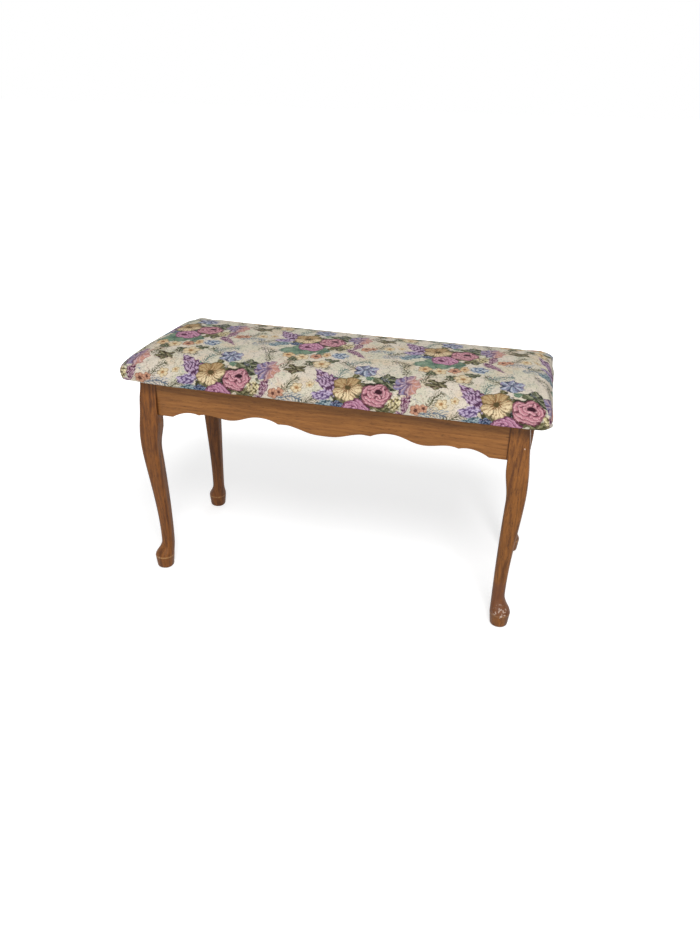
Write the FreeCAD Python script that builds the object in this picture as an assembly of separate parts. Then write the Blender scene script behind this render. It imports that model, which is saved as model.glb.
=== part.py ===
import FreeCAD, Part
import math
import os

Vector = FreeCAD.Vector

# Upholstered vanity bench on four cabriole legs, in millimetres. The origin is on the floor under
# the middle of the seat, with +X along the bench, +Y to the back and +Z up.

# Overall sizes
SEAT_LENGTH = 762.0
SEAT_DEPTH = 343.0
SEAT_OVERHANG = 25.4    # seat past the outer faces of the leg posts, all round
FRAME_TOP = 415.0       # floor to the top of the legs and aprons

# Legs
POST = 32.0             # square post that the aprons butt against
POST_EDGE = 2.0         # rounding of the post's corners
KNEE_HEIGHT = 292.0
KNEE_SWELL = 8.0        # the knee stands this far out from the post
HOLLOW_HEIGHT = 268.0
KNEE_HOLLOW = 6.0       # the back of the knee is hollowed this far in from the post
KNEE_BACK_RADIUS = 14.0  # rounding of the leg's inner corner behind the knee
ANKLE_HEIGHT = 65.0
ANKLE_SETBACK = 6.0     # the ankle stands this far in from the post
ANKLE_THICKNESS = 24.0
TOE_HEIGHT = 27.0       # ridge round the pad foot
TOE_REACH = 8.0         # the toe stands this far out from the post
FOOT_BASE = 32.0        # width of the pad under the ridge, at the floor
FOOT_TURN = 5.0         # radius that the pad turns under with
CHAMFER = 12.0          # flat sawn on the post's inner corner for the bolt

# Roundness of a leg's section, where 1 is a full circle
KNEE_ROUNDNESS = 0.34
ANKLE_ROUNDNESS = 0.80
FOOT_ROUNDNESS = 0.96

# How a leg's faces run from one level to the next, as powers: the higher, the later the turn
SHANK_TURN = 1.5        # outer faces, knee to ankle
TOE_TURN = 1.5          # outer faces, ankle to toe
HOLLOW_TURN = 2.0       # inner faces, ankle to the hollow behind the knee

# Aprons
APRON_THICKNESS = 19.0
APRON_SETBACK = 1.5     # apron face behind the post's face
APRON_DEPTH = 70.0      # at the lobes of the scalloped edge
SCALLOP_RISE = 20.0     # lobe to the top of the highest arch

# Corner blocks and their fasteners
BLOCK_GAP = 1.5         # inner corner of the post to the block, along the diagonal
BLOCK_THICKNESS = 20.0
BLOCK_HEIGHT = 38.0
BOLT_DIAMETER = 8.0
BOLT_IN_LEG = 20.0      # length of the bolt inside the post
BOLT_POINT = 6.0
BOLT_TAIL = 3.0         # bolt past the nut
BOLT_CHAMFER = 1.0
WASHER_DIAMETER = 20.0
WASHER_THICKNESS = 1.6
NUT_ACROSS_FLATS = 13.0
NUT_HEIGHT = 6.5
SCREW_DIAMETER = 4.0
SCREW_HEAD_DIAMETER = 8.0
SCREW_HEAD_HEIGHT = 2.6
SCREW_POINT = 4.0
BLOCK_SCREW_IN_APRON = 13.0
BLOCK_SCREW_GRIP = 8.0  # wood between the screw head and the apron
SEAT_SCREW_IN_BOARD = 9.0
SEAT_SCREW_GRIP = 24.0  # wood between the screw head and the top of the block
SEAT_SCREW_OFFSET = 15.0  # to each side of the bolt, along the block

# Seat
BOARD_THICKNESS = 12.7
DUST_COVER_THICKNESS = 0.6
COVER_THICKNESS = 1.2
WADDING_THICKNESS = 5.0
PAD_CROWN = 48.0        # top of the seat above the underside of its cover
PAD_CORNER = 13.0       # plan radius of the seat's corners
HEM_WIDTH = 20.0        # cover turned under the board
HEM_GAP = 0.8           # hem to the dust cover's edge

# Clearances
FIT = 0.15              # round a fastener in its hole, on the radius
EASE = 0.3              # between soft layers
CUT_PAST = 1.0          # a cut runs on this far past the face that it opens

FRAME_LENGTH = SEAT_LENGTH - 2 * SEAT_OVERHANG
FRAME_DEPTH = SEAT_DEPTH - 2 * SEAT_OVERHANG
APRON_INNER = APRON_SETBACK + APRON_THICKNESS
BOLT_HEIGHT = FRAME_TOP - BLOCK_HEIGHT / 2
BOARD_BOTTOM = FRAME_TOP + DUST_COVER_THICKNESS
BOARD_TOP = BOARD_BOTTOM + BOARD_THICKNESS
PAD_BOTTOM = BOARD_BOTTOM - COVER_THICKNESS
ROOT2 = math.sqrt(2)

# Positions along the diagonal of a corner, from the post's outer corner towards the middle.
CHAMFER_AT = (2 * POST - CHAMFER) / ROOT2
BLOCK_NEAR = 2 * POST / ROOT2 + BLOCK_GAP
BLOCK_FAR = BLOCK_NEAR + BLOCK_THICKNESS
NUT_AT = BLOCK_FAR + WASHER_THICKNESS
INWARD = Vector(1, 1, 0) / ROOT2

# Each corner is one rotation of the front left one, because a leg is alike on its two outer faces.
CORNERS = (
    ("front_left", -1, -1, 0),
    ("front_right", 1, -1, 90),
    ("back_right", 1, 1, 180),
    ("back_left", -1, 1, 270),
)

# Scalloped edges from the middle of an apron outwards, one row for each curve between two cusps.
# Each point is a share of half the span and a share of the scallop's rise.
LONG_SCALLOP = (
    ((0.0, 0.0), (0.07, 0.06), (0.153, 0.42), (0.21, 0.61), (0.265, 0.58)),
    (
        (0.265, 0.58),
        (0.365, 1.0),
        (0.42, 0.92),
        (0.51, 0.45),
        (0.565, 0.35),
        (0.69, 0.61),
        (0.742, 0.47),
    ),
    ((0.742, 0.47), (0.80, 0.59), (0.855, 0.40), (0.905, 0.0)),
)
END_SCALLOP = (
    ((0.0, 0.0), (0.14, 0.08), (0.30, 0.45), (0.40, 0.61), (0.49, 0.55)),
    ((0.49, 0.55), (0.62, 0.75), (0.74, 0.46), (0.83, 0.0)),
)

# Section of the seat from its lower edge to the crown: share of the crown's height, and how far the
# outline is drawn in there, as a share of half the depth that the crown spans.
PAD_SECTION = (
    (0.0, 0.0175),
    (0.09, 0.004),
    (0.22, 0.0),
    (0.37, 0.0105),
    (0.50, 0.035),
    (0.61, 0.076),
    (0.71, 0.14),
    (0.80, 0.24),
    (0.89, 0.38),
    (0.96, 0.55),
    (1.0, 0.73),
)
PAD_CORNER_GROWTH = 0.15  # corner radius gained for each millimetre drawn in
PAD_END_DRAW = 0.45     # the ends are drawn in this share as much, so they are fuller


def smooth(share):
    share = min(1.0, max(0.0, share))
    return share * share * (3 - 2 * share)


def mix(low, high, share):
    return low + (high - low) * share


def rounded_rectangle(x0, x1, y0, y1, radius, z, far_radius=None):
    """A level wire of four lines and four quarter arcs. The corner at x1, y1 can have its own radius."""
    turn = 1 - 1 / ROOT2
    ends = []
    edges = []
    for x, y in ((x1, y0), (x1, y1), (x0, y1), (x0, y0)):
        size = far_radius if far_radius and (x, y) == (x1, y1) else radius
        in_x = size if x == x0 else -size
        in_y = size if y == y0 else -size
        pair = [Vector(x + in_x, y, z), Vector(x, y + in_y, z)]
        if len(ends) % 2:
            pair.reverse()
        edges.append(Part.Arc(pair[0], Vector(x + in_x * turn, y + in_y * turn, z), pair[1]).toShape())
        ends.append(pair)
    for this, following in zip(ends, ends[1:] + ends[:1]):
        edges.append(Part.LineSegment(this[1], following[0]).toShape())
    return Part.Wire(Part.__sortEdges__(edges))


def lofted(wires):
    """A solid through level wires, smooth from one to the next."""
    degree = 3
    return Part.makeLoft(wires, True, False, False, degree)


def slab(length, depth, radius, z, thickness):
    wire = rounded_rectangle(-length / 2, length / 2, -depth / 2, depth / 2, radius, z)
    return Part.Face(wire).extrude(Vector(0, 0, thickness))


def revolved(profile, base, direction):
    """A solid of revolution about a line: the profile gives distance along it and radius."""
    points = [Vector(radius, 0, along) for along, radius in profile]
    solid = Part.Face(Part.makePolygon(points + points[:1])).revolve(Vector(), Vector(0, 0, 1), 360)
    solid.Placement = FreeCAD.Placement(base, FreeCAD.Rotation(Vector(0, 0, 1), direction))
    return solid


def to_corner(shape, side_x, side_y, angle):
    """Moves a shape made at the front left post's outer corner to one of the four corners."""
    moved = shape.copy()
    moved.rotate(Vector(), Vector(0, 0, 1), angle)
    moved.translate(Vector(side_x * FRAME_LENGTH / 2, side_y * FRAME_DEPTH / 2, 0))
    return moved


def at_every_corner(shape):
    return Part.makeCompound([to_corner(shape, *corner[1:]) for corner in CORNERS])


# Legs


def leg_outer(z):
    """Where a leg's two outer faces lie at a height, in from the post's outer faces."""
    if z >= KNEE_HEIGHT:
        return -KNEE_SWELL * (1 - smooth((z - KNEE_HEIGHT) / (FRAME_TOP - KNEE_HEIGHT)))
    if z >= ANKLE_HEIGHT:
        down = (KNEE_HEIGHT - z) / (KNEE_HEIGHT - ANKLE_HEIGHT)
        return mix(-KNEE_SWELL, ANKLE_SETBACK, math.sin(math.pi / 2 * down) ** SHANK_TURN)
    down = (ANKLE_HEIGHT - z) / (ANKLE_HEIGHT - TOE_HEIGHT)
    return mix(ANKLE_SETBACK, -TOE_REACH, smooth(down ** TOE_TURN))


def leg_inner(z):
    """Where a leg's two inner faces lie, from the post's outer faces. The post is left proud, to be sawn."""
    shoulder = FRAME_TOP - APRON_DEPTH
    ankle = ANKLE_SETBACK + ANKLE_THICKNESS
    hollow = POST - KNEE_HOLLOW
    if z >= HOLLOW_HEIGHT:
        up = (z - HOLLOW_HEIGHT) / (shoulder - HOLLOW_HEIGHT)
        return mix(hollow, POST + CUT_PAST, smooth(up))
    down = (HOLLOW_HEIGHT - z) / (HOLLOW_HEIGHT - ANKLE_HEIGHT)
    return mix(ankle, hollow, max(0.0, 1 - down) ** HOLLOW_TURN)


def leg_edge(z):
    """Corner radius of a leg's section, from the square post to the nearly round ankle and foot."""
    half = (leg_inner(z) - leg_outer(z)) / 2
    if z >= KNEE_HEIGHT:
        up = smooth((z - KNEE_HEIGHT) / (FRAME_TOP - KNEE_HEIGHT))
        return mix(half * KNEE_ROUNDNESS, POST_EDGE, up)
    if z >= ANKLE_HEIGHT:
        down = (KNEE_HEIGHT - z) / (KNEE_HEIGHT - ANKLE_HEIGHT)
        return half * mix(KNEE_ROUNDNESS, ANKLE_ROUNDNESS, down)
    down = (ANKLE_HEIGHT - z) / (ANKLE_HEIGHT - TOE_HEIGHT)
    return half * mix(ANKLE_ROUNDNESS, FOOT_ROUNDNESS, down)


def leg_back_edge(z):
    """Radius of the inner corner, full behind the knee and even with the other corners at the ankle."""
    if z >= KNEE_HEIGHT:
        return KNEE_BACK_RADIUS
    return mix(KNEE_BACK_RADIUS, leg_edge(z), smooth((KNEE_HEIGHT - z) / (KNEE_HEIGHT - ANKLE_HEIGHT)))


def leg_section(z):
    outer, inner = leg_outer(z), leg_inner(z)
    return rounded_rectangle(outer, inner, outer, inner, leg_edge(z), z, leg_back_edge(z))


def bolt_axis(along):
    """A point of the bolt's axis, at a distance along the diagonal of the corner."""
    return Vector(along / ROOT2, along / ROOT2, BOLT_HEIGHT)


def make_foot_pad():
    """The pad under the toe's ridge, which draws in to the floor and turns under there."""
    middle = (leg_outer(TOE_HEIGHT) + leg_inner(TOE_HEIGHT)) / 2
    half = FOOT_BASE / 2
    low, high = middle - half, middle + half
    tread = rounded_rectangle(low, high, low, high, half * FOOT_ROUNDNESS, 0.0)
    pad = Part.makeLoft([leg_section(TOE_HEIGHT), tread], True, True)
    floor_edges = [edge for edge in pad.Edges if edge.BoundBox.ZMax < FOOT_TURN]
    return pad.makeFillet(FOOT_TURN, floor_edges)


def make_leg():
    shank_steps, foot_steps = 12, 6
    heights = [mix(TOE_HEIGHT, ANKLE_HEIGHT, i / foot_steps) for i in range(foot_steps)]
    heights += [mix(ANKLE_HEIGHT, FRAME_TOP, i / shank_steps) for i in range(shank_steps + 1)]
    shank = lofted([leg_section(z) for z in heights])
    leg = shank.fuse(make_foot_pad())

    # The post's inner faces are sawn flat for the aprons, and its inner corner for the bolt.
    saw = Part.makeBox(POST, 3 * POST, FRAME_TOP, Vector(POST, -POST, ANKLE_HEIGHT))
    saw_other = Part.makeBox(3 * POST, POST, FRAME_TOP, Vector(-POST, POST, ANKLE_HEIGHT))
    corner_saw = Part.makeBox(POST, 2 * POST, FRAME_TOP, Vector(0, -POST, 0))
    corner_saw.rotate(Vector(), Vector(0, 0, 1), 45)
    corner_saw.translate(INWARD * CHAMFER_AT + Vector(0, 0, HOLLOW_HEIGHT))
    depth = BOLT_IN_LEG + FIT
    bottom = bolt_axis(CHAMFER_AT - depth)
    bore = Part.makeCylinder(BOLT_DIAMETER / 2 + FIT, depth + POST, bottom, INWARD)
    return leg.cut(saw).cut(saw_other).cut(corner_saw).cut(bore).removeSplitter()


# Aprons


def scallop_edges(scallop, half_span):
    """The lower edge from the middle to the right end: splines that meet at cusps, then a flat."""
    edges = []
    low = FRAME_TOP - APRON_DEPTH
    for row in scallop:
        points = [Vector(along * half_span, 0, low + rise * SCALLOP_RISE) for along, rise in row]
        curve = Part.BSplineCurve()
        if row is scallop[0]:
            level = Vector(half_span, 0, 0)
            away = points[-1] - points[-2]
            curve.interpolate(Points=points, InitialTangent=level, FinalTangent=away)
        else:
            curve.interpolate(Points=points)
        edges.append(curve.toShape())
    edges.append(Part.LineSegment(points[-1], Vector(half_span, 0, low)).toShape())
    return edges


def make_apron(scallop, span):
    """An apron along X with its face on y = 0, and pilot holes for the corner blocks' screws."""
    half = span / 2
    right = scallop_edges(scallop, half)
    left = [edge.mirror(Vector(), Vector(1, 0, 0)) for edge in right]
    low = FRAME_TOP - APRON_DEPTH
    corners = ((half, low), (half, FRAME_TOP), (-half, FRAME_TOP), (-half, low))
    rim = [Vector(x, 0, z) for x, z in corners]
    rim_edges = [Part.LineSegment(a, b).toShape() for a, b in zip(rim, rim[1:])]
    wire = Part.Wire(Part.__sortEdges__(right + left + rim_edges))
    apron = Part.Face(wire).extrude(Vector(0, APRON_THICKNESS, 0))
    depth = BLOCK_SCREW_IN_APRON + FIT
    radius = SCREW_DIAMETER / 2 + FIT
    for side in (-1, 1):
        start = Vector(side * (half + POST - block_screw_place()), APRON_THICKNESS - depth, BOLT_HEIGHT)
        apron = apron.cut(Part.makeCylinder(radius, depth + CUT_PAST, start, Vector(0, 1, 0)))
    return apron


def place_apron(apron, reach, angle):
    """Sets an apron's face at a distance from the middle of the bench, on the side that the angle gives."""
    placed = apron.copy()
    placed.translate(Vector(0, APRON_SETBACK - reach, 0))
    placed.rotate(Vector(), Vector(0, 0, 1), angle)
    return placed


# Corner blocks and fasteners, made at the front left corner


def block_screw_place():
    """Distance of a block's screw from the corner, along the apron: the middle of their meeting faces."""
    return (BLOCK_NEAR + BLOCK_FAR) / 2 * ROOT2 - APRON_INNER


def seat_screw_places():
    along = (BLOCK_NEAR + BLOCK_FAR) / 2
    sides = (-SEAT_SCREW_OFFSET, SEAT_SCREW_OFFSET)
    return [Vector(along + side, along - side, 0) / ROOT2 for side in sides]


def block_screw_sides():
    """For each of the two screws: a point on the apron's inner face, and the way into the block."""
    place = block_screw_place()
    return (
        (Vector(place, APRON_INNER, BOLT_HEIGHT), Vector(0, 1, 0)),
        (Vector(APRON_INNER, place, BOLT_HEIGHT), Vector(1, 0, 0)),
    )


def make_corner_block():
    near, far = BLOCK_NEAR * ROOT2 - APRON_INNER, BLOCK_FAR * ROOT2 - APRON_INNER
    bottom = FRAME_TOP - BLOCK_HEIGHT
    outline = [(APRON_INNER, near), (near, APRON_INNER), (far, APRON_INNER), (APRON_INNER, far)]
    points = [Vector(x, y, bottom) for x, y in outline]
    block = Part.Face(Part.makePolygon(points + points[:1])).extrude(Vector(0, 0, BLOCK_HEIGHT))

    hole = BOLT_DIAMETER / 2 + FIT
    start = bolt_axis(BLOCK_NEAR - BLOCK_THICKNESS / 2)
    cuts = [Part.makeCylinder(hole, 2 * BLOCK_THICKNESS, start, INWARD)]
    head = SCREW_HEAD_DIAMETER / 2 + 2 * FIT
    shank = SCREW_DIAMETER / 2 + FIT
    for place in seat_screw_places():
        foot = place + Vector(0, 0, bottom)
        cuts.append(Part.makeCylinder(shank, BLOCK_HEIGHT, foot))
        cuts.append(Part.makeCylinder(head, BLOCK_HEIGHT - SEAT_SCREW_GRIP, foot))
    for foot, way in block_screw_sides():
        cuts.append(Part.makeCylinder(shank, BLOCK_THICKNESS, foot, way))
        cuts.append(Part.makeCylinder(head, 2 * BLOCK_THICKNESS, foot + way * BLOCK_SCREW_GRIP, way))
    for cut in cuts:
        block = block.cut(cut)
    return block


def make_hanger_bolt():
    radius = BOLT_DIAMETER / 2
    start = CHAMFER_AT - BOLT_IN_LEG
    length = NUT_AT + NUT_HEIGHT + BOLT_TAIL - start
    profile = [
        (0, 0),
        (BOLT_POINT, radius),
        (length - BOLT_CHAMFER, radius),
        (length, radius - BOLT_CHAMFER),
        (length, 0),
    ]
    return revolved(profile, bolt_axis(start), INWARD)


def make_washer():
    seat = bolt_axis(BLOCK_FAR)
    disc = Part.makeCylinder(WASHER_DIAMETER / 2, WASHER_THICKNESS, seat, INWARD)
    return disc.cut(Part.makeCylinder(BOLT_DIAMETER / 2 + FIT, WASHER_THICKNESS, seat, INWARD))


def make_nut():
    corner_radius = NUT_ACROSS_FLATS / 2 / math.cos(math.radians(30))
    sideways, up = Vector(1, -1, 0) / ROOT2, Vector(0, 0, 1)
    points = []
    for i in range(7):
        turn = math.radians(60 * i)
        points.append(bolt_axis(NUT_AT) + (sideways * math.cos(turn) + up * math.sin(turn)) * corner_radius)
    nut = Part.Face(Part.makePolygon(points)).extrude(INWARD * NUT_HEIGHT)
    return nut.cut(Part.makeCylinder(BOLT_DIAMETER / 2 + FIT, NUT_HEIGHT, bolt_axis(NUT_AT), INWARD))


def make_screw(head_seat, way, length):
    """A pan-head screw whose head sits on a point and whose shank runs along the way."""
    head, shank = SCREW_HEAD_DIAMETER / 2, SCREW_DIAMETER / 2
    profile = [
        (-SCREW_HEAD_HEIGHT, 0),
        (-SCREW_HEAD_HEIGHT, head * 0.7),
        (-SCREW_HEAD_HEIGHT / 2, head),
        (0, head),
        (0, shank),
        (length - SCREW_POINT, shank),
        (length, 0),
    ]
    return revolved(profile, head_seat, way)


def make_block_screws():
    length = BLOCK_SCREW_GRIP + BLOCK_SCREW_IN_APRON
    return Part.makeCompound(
        [make_screw(foot + way * BLOCK_SCREW_GRIP, -way, length) for foot, way in block_screw_sides()]
    )


def make_seat_screws():
    length = SEAT_SCREW_GRIP + DUST_COVER_THICKNESS + SEAT_SCREW_IN_BOARD
    up = Vector(0, 0, 1)
    seats = [place + up * (FRAME_TOP - SEAT_SCREW_GRIP) for place in seat_screw_places()]
    return Part.makeCompound([make_screw(seat, up, length) for seat in seats])


def seat_screw_holes(radius, bottom, height):
    feet = [place + Vector(0, 0, bottom) for place in seat_screw_places()]
    return at_every_corner(Part.makeCompound([Part.makeCylinder(radius, height, foot) for foot in feet]))


# Seat


def pad_form(inset, bottom):
    """The seat's crowned form drawn in by one thickness all over, standing on a level."""
    crown = PAD_BOTTOM + PAD_CROWN - inset
    wires = []
    for rise, share in PAD_SECTION:
        drawn_in = share * SEAT_DEPTH / 2
        half_length = SEAT_LENGTH / 2 - PAD_END_DRAW * drawn_in - inset
        half_depth = SEAT_DEPTH / 2 - drawn_in - inset
        corner = PAD_CORNER + PAD_CORNER_GROWTH * drawn_in - inset / 2
        level = mix(bottom, crown, rise)
        wires.append(rounded_rectangle(-half_length, half_length, -half_depth, half_depth, corner, level))
    return lofted(wires)


def board_inset():
    tuck = PAD_SECTION[0][1] * SEAT_DEPTH / 2
    return tuck + COVER_THICKNESS + WADDING_THICKNESS + 2 * EASE


def make_seat_board():
    inset = board_inset()
    length, depth = SEAT_LENGTH - 2 * inset, SEAT_DEPTH - 2 * inset
    board = slab(length, depth, PAD_CORNER - inset / 2, BOARD_BOTTOM, BOARD_THICKNESS)
    return board.cut(seat_screw_holes(SCREW_DIAMETER / 2 + FIT, BOARD_BOTTOM, SEAT_SCREW_IN_BOARD + FIT))


def make_foam():
    form = pad_form(COVER_THICKNESS + WADDING_THICKNESS + 2 * EASE, BOARD_BOTTOM)
    corner = Vector(-SEAT_LENGTH / 2, -SEAT_DEPTH / 2, BOARD_TOP)
    return form.common(Part.makeBox(SEAT_LENGTH, SEAT_DEPTH, PAD_CROWN, corner))


def make_wadding():
    outer = pad_form(COVER_THICKNESS + EASE, BOARD_BOTTOM + EASE)
    inner = pad_form(COVER_THICKNESS + EASE + WADDING_THICKNESS, BOARD_BOTTOM)
    inset = board_inset() - EASE
    length, depth = SEAT_LENGTH - 2 * inset, SEAT_DEPTH - 2 * inset
    mouth = slab(length, depth, PAD_CORNER, BOARD_BOTTOM - CUT_PAST, 2 * BOARD_THICKNESS)
    return outer.cut(inner).cut(mouth)


def make_cover():
    outer = pad_form(0.0, PAD_BOTTOM)
    inner = pad_form(COVER_THICKNESS, BOARD_BOTTOM)
    length, depth = SEAT_LENGTH - 2 * HEM_WIDTH, SEAT_DEPTH - 2 * HEM_WIDTH
    mouth = slab(length, depth, PAD_CORNER, PAD_BOTTOM - CUT_PAST, BOARD_THICKNESS)
    return outer.cut(inner).cut(mouth)


def make_dust_cover():
    inset = HEM_WIDTH + HEM_GAP
    length, depth = SEAT_LENGTH - 2 * inset, SEAT_DEPTH - 2 * inset
    sheet = slab(length, depth, PAD_CORNER, FRAME_TOP, DUST_COVER_THICKNESS)
    return sheet.cut(seat_screw_holes(SCREW_DIAMETER / 2 + FIT, FRAME_TOP, DUST_COVER_THICKNESS))


def main():
    parts = {}
    leg, block = make_leg(), make_corner_block()
    for name, *place in CORNERS:
        parts[name + "_leg"] = to_corner(leg, *place)
        parts[name + "_corner_block"] = to_corner(block, *place)

    long_apron = make_apron(LONG_SCALLOP, FRAME_LENGTH - 2 * POST)
    end_apron = make_apron(END_SCALLOP, FRAME_DEPTH - 2 * POST)
    parts["front_apron"] = place_apron(long_apron, FRAME_DEPTH / 2, 0)
    parts["back_apron"] = place_apron(long_apron, FRAME_DEPTH / 2, 180)
    parts["right_apron"] = place_apron(end_apron, FRAME_LENGTH / 2, 90)
    parts["left_apron"] = place_apron(end_apron, FRAME_LENGTH / 2, 270)

    parts["hanger_bolts"] = at_every_corner(make_hanger_bolt())
    parts["bolt_washers"] = at_every_corner(make_washer())
    parts["bolt_nuts"] = at_every_corner(make_nut())
    parts["block_screws"] = at_every_corner(make_block_screws())
    parts["seat_screws"] = at_every_corner(make_seat_screws())

    parts["seat_board"] = make_seat_board()
    parts["seat_foam"] = make_foam()
    parts["seat_wadding"] = make_wadding()
    parts["seat_cover"] = make_cover()
    parts["dust_cover"] = make_dust_cover()

    os.makedirs("parts", exist_ok=True)
    for name, shape in parts.items():
        solids = shape.Solids
        assert solids and all(solid.isValid() for solid in solids), name
        Part.makeCompound(solids).exportStep("parts/" + name + ".step")
        volume = sum(solid.Volume for solid in solids) / 1000
        print(f"{name}: {len(solids)} solids, {volume:.1f} cm3")


main()
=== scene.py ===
import bpy
import math
import numpy as np
from mathutils import Matrix, Vector


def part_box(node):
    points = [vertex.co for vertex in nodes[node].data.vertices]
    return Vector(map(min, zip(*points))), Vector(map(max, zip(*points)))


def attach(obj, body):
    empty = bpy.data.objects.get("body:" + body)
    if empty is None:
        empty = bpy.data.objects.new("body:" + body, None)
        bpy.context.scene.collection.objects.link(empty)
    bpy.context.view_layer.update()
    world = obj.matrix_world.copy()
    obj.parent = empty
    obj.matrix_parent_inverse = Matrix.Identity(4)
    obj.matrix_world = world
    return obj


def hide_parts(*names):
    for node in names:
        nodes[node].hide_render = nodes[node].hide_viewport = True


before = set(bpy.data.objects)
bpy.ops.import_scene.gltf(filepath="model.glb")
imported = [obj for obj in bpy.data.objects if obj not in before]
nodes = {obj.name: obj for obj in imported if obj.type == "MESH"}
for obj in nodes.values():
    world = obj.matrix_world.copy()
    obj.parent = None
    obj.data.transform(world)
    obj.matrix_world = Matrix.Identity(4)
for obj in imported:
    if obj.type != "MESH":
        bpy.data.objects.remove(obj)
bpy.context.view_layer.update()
mm = 0.001
print("frame loaded:", len(nodes), "nodes")


# Helpers


def addObject(name, data):
    thing = bpy.data.objects.new(name, data)
    bpy.context.scene.collection.objects.link(thing)
    return thing


def selectOnly(thing):
    bpy.ops.object.select_all(action="DESELECT")
    thing.select_set(True)
    bpy.context.view_layer.objects.active = thing


def setMode(mode):
    bpy.ops.object.mode_set(mode=mode)


def mountPiece(piece, slotName, *replaced):
    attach(piece, "root")
    if replaced:
        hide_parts(*replaced)


def readPlaces(mesh, key="co"):
    values = np.zeros(len(mesh.vertices) * 3)
    mesh.vertices.foreach_get(key, values)
    return values.reshape(-1, 3)


def writePlaces(mesh, places):
    mesh.vertices.foreach_set("co", places.ravel())
    mesh.update()


def screenColour(red, green, blue):
    levels = [level / 255 for level in (red, green, blue)]  # screen values to linear light
    return (*[s / 12.92 if s <= 0.04045 else ((s + 0.055) / 1.055) ** 2.4 for s in levels], 1.0)


def shades(settings, *names):
    return [screenColour(*settings[name]) for name in names]


class NodeBoard:
    def __init__(self, tree):
        self.tree = tree

    def add(self, kind, inputs=None, **settings):
        node = self.tree.nodes.new(kind)
        for name, value in settings.items():
            setattr(node, name, value)
        for name, value in (inputs or {}).items():  # by name or number
            if isinstance(value, bpy.types.NodeSocket):
                self.tree.links.new(value, node.inputs[name])
            else:
                node.inputs[name].default_value = value
        return node

    def math(self, operation, *values):
        return self.add("ShaderNodeMath", dict(enumerate(values)), operation=operation).outputs[0]

    def times(self, value, factor, plus=None):
        if plus is None:
            return self.math("MULTIPLY", value, factor)
        return self.math("MULTIPLY_ADD", value, factor, plus)

    def vector(self, operation, *values):
        outputs = self.add("ShaderNodeVectorMath", dict(enumerate(values)), operation=operation).outputs
        return outputs["Value" if operation in ("LENGTH", "DOT_PRODUCT") else "Vector"]

    def split(self, vector, count=2):
        # dot products and not Separate XYZ, whose unused outputs fill up Cycles' small stack
        axes = ((1, 0, 0), (0, 1, 0), (0, 0, 1))[:count]
        return [self.vector("DOT_PRODUCT", vector, axis) for axis in axes]

    def join(self, x, y, z=0.0):
        return self.add("ShaderNodeCombineXYZ", {"X": x, "Y": y, "Z": z}).outputs[0]

    def place(self, vector, size=(1, 1, 1), turn=0.0, move=(0, 0, 0)):
        inputs = {"Vector": vector, "Location": move, "Rotation": (0, 0, math.radians(turn)), "Scale": size}
        return self.add("ShaderNodeMapping", inputs, vector_type="TEXTURE").outputs[0]

    def smooth(self, value, low, high):
        inputs = {"Value": value, "From Min": low, "From Max": high}
        return self.add("ShaderNodeMapRange", inputs, interpolation_type="SMOOTHSTEP").outputs[0]

    def mix(self, share, first, second, blend="MIX"):
        inputs = {0: share, 6: first, 7: second}  # the sockets for colours
        return self.add("ShaderNodeMix", inputs, data_type="RGBA", blend_type=blend).outputs[2]

    def lay(self, colour, over, value, low, high, share=1.0):
        # the second colour over the first as the value goes from low to high
        shown = self.smooth(value, low, high)
        return self.mix(self.times(shown, share) if share < 1 else shown, colour, over)

    def noise(self, vector, scale, detail=2.0, rough=0.5, output=0):
        inputs = {"Vector": vector, "Scale": scale, "Detail": detail, "Roughness": rough}
        return self.add("ShaderNodeTexNoise", inputs).outputs[output]  # 0 is a number, 1 a colour

    def streaks(self, vector, steps, detail=2.0, rough=0.5, output=0):
        return self.noise(self.vector("MULTIPLY", vector, steps), 1.0, detail, rough, output)

    def cells(self, vector, scale):
        node = self.add("ShaderNodeTexVoronoi", {"Vector": vector, "Scale": scale}, voronoi_dimensions="2D")
        return node.outputs["Distance"], node.outputs["Color"]

    def spot(self):
        # the place on the piece in mm
        return self.vector("MULTIPLY", self.add("ShaderNodeTexCoord").outputs["Object"], (1000, 1000, 1000))

    def shake(self, vector, scale, amount):
        inputs = {"Vector": vector, "Scale": scale}
        stray = self.add("ShaderNodeTexNoise", inputs, noise_dimensions="2D").outputs["Color"]
        moved = self.vector("MULTIPLY_ADD", stray, (amount, amount, 0), vector)
        return self.vector("SUBTRACT", moved, (amount / 2, amount / 2, 0))

    def use(self, tree, inputs):
        return self.add("ShaderNodeGroup", inputs, node_tree=tree).outputs


def newGroup(name, inputs, outputs):
    tree = bpy.data.node_groups.new(name, "ShaderNodeTree")
    for way, sockets in (("INPUT", inputs), ("OUTPUT", outputs)):
        for socket, kind in sockets:
            tree.interface.new_socket(socket, in_out=way, socket_type="NodeSocket" + kind)
    board = NodeBoard(tree)
    return tree, board, board.add("NodeGroupInput").outputs


def newMaterial(name):
    material = bpy.data.materials.new(name)
    material.use_nodes = True
    material.node_tree.nodes.clear()
    return material, NodeBoard(material.node_tree)


def closeMaterial(board, colour, roughness, height, depth, finish):
    bump = board.add("ShaderNodeBump", {"Height": height, "Distance": depth, "Strength": 1.0})
    inputs = {"Base Color": colour, "Roughness": roughness, "Normal": bump.outputs[0]}
    shader = board.add("ShaderNodeBsdfPrincipled", {**inputs, **finish})
    board.add("ShaderNodeOutputMaterial", {"Surface": shader.outputs[0]})


# Tapestry motifs, each drawn in a circle of radius 1

motifSockets = ("Dark", "Mid", "Light", "Accent")


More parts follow.
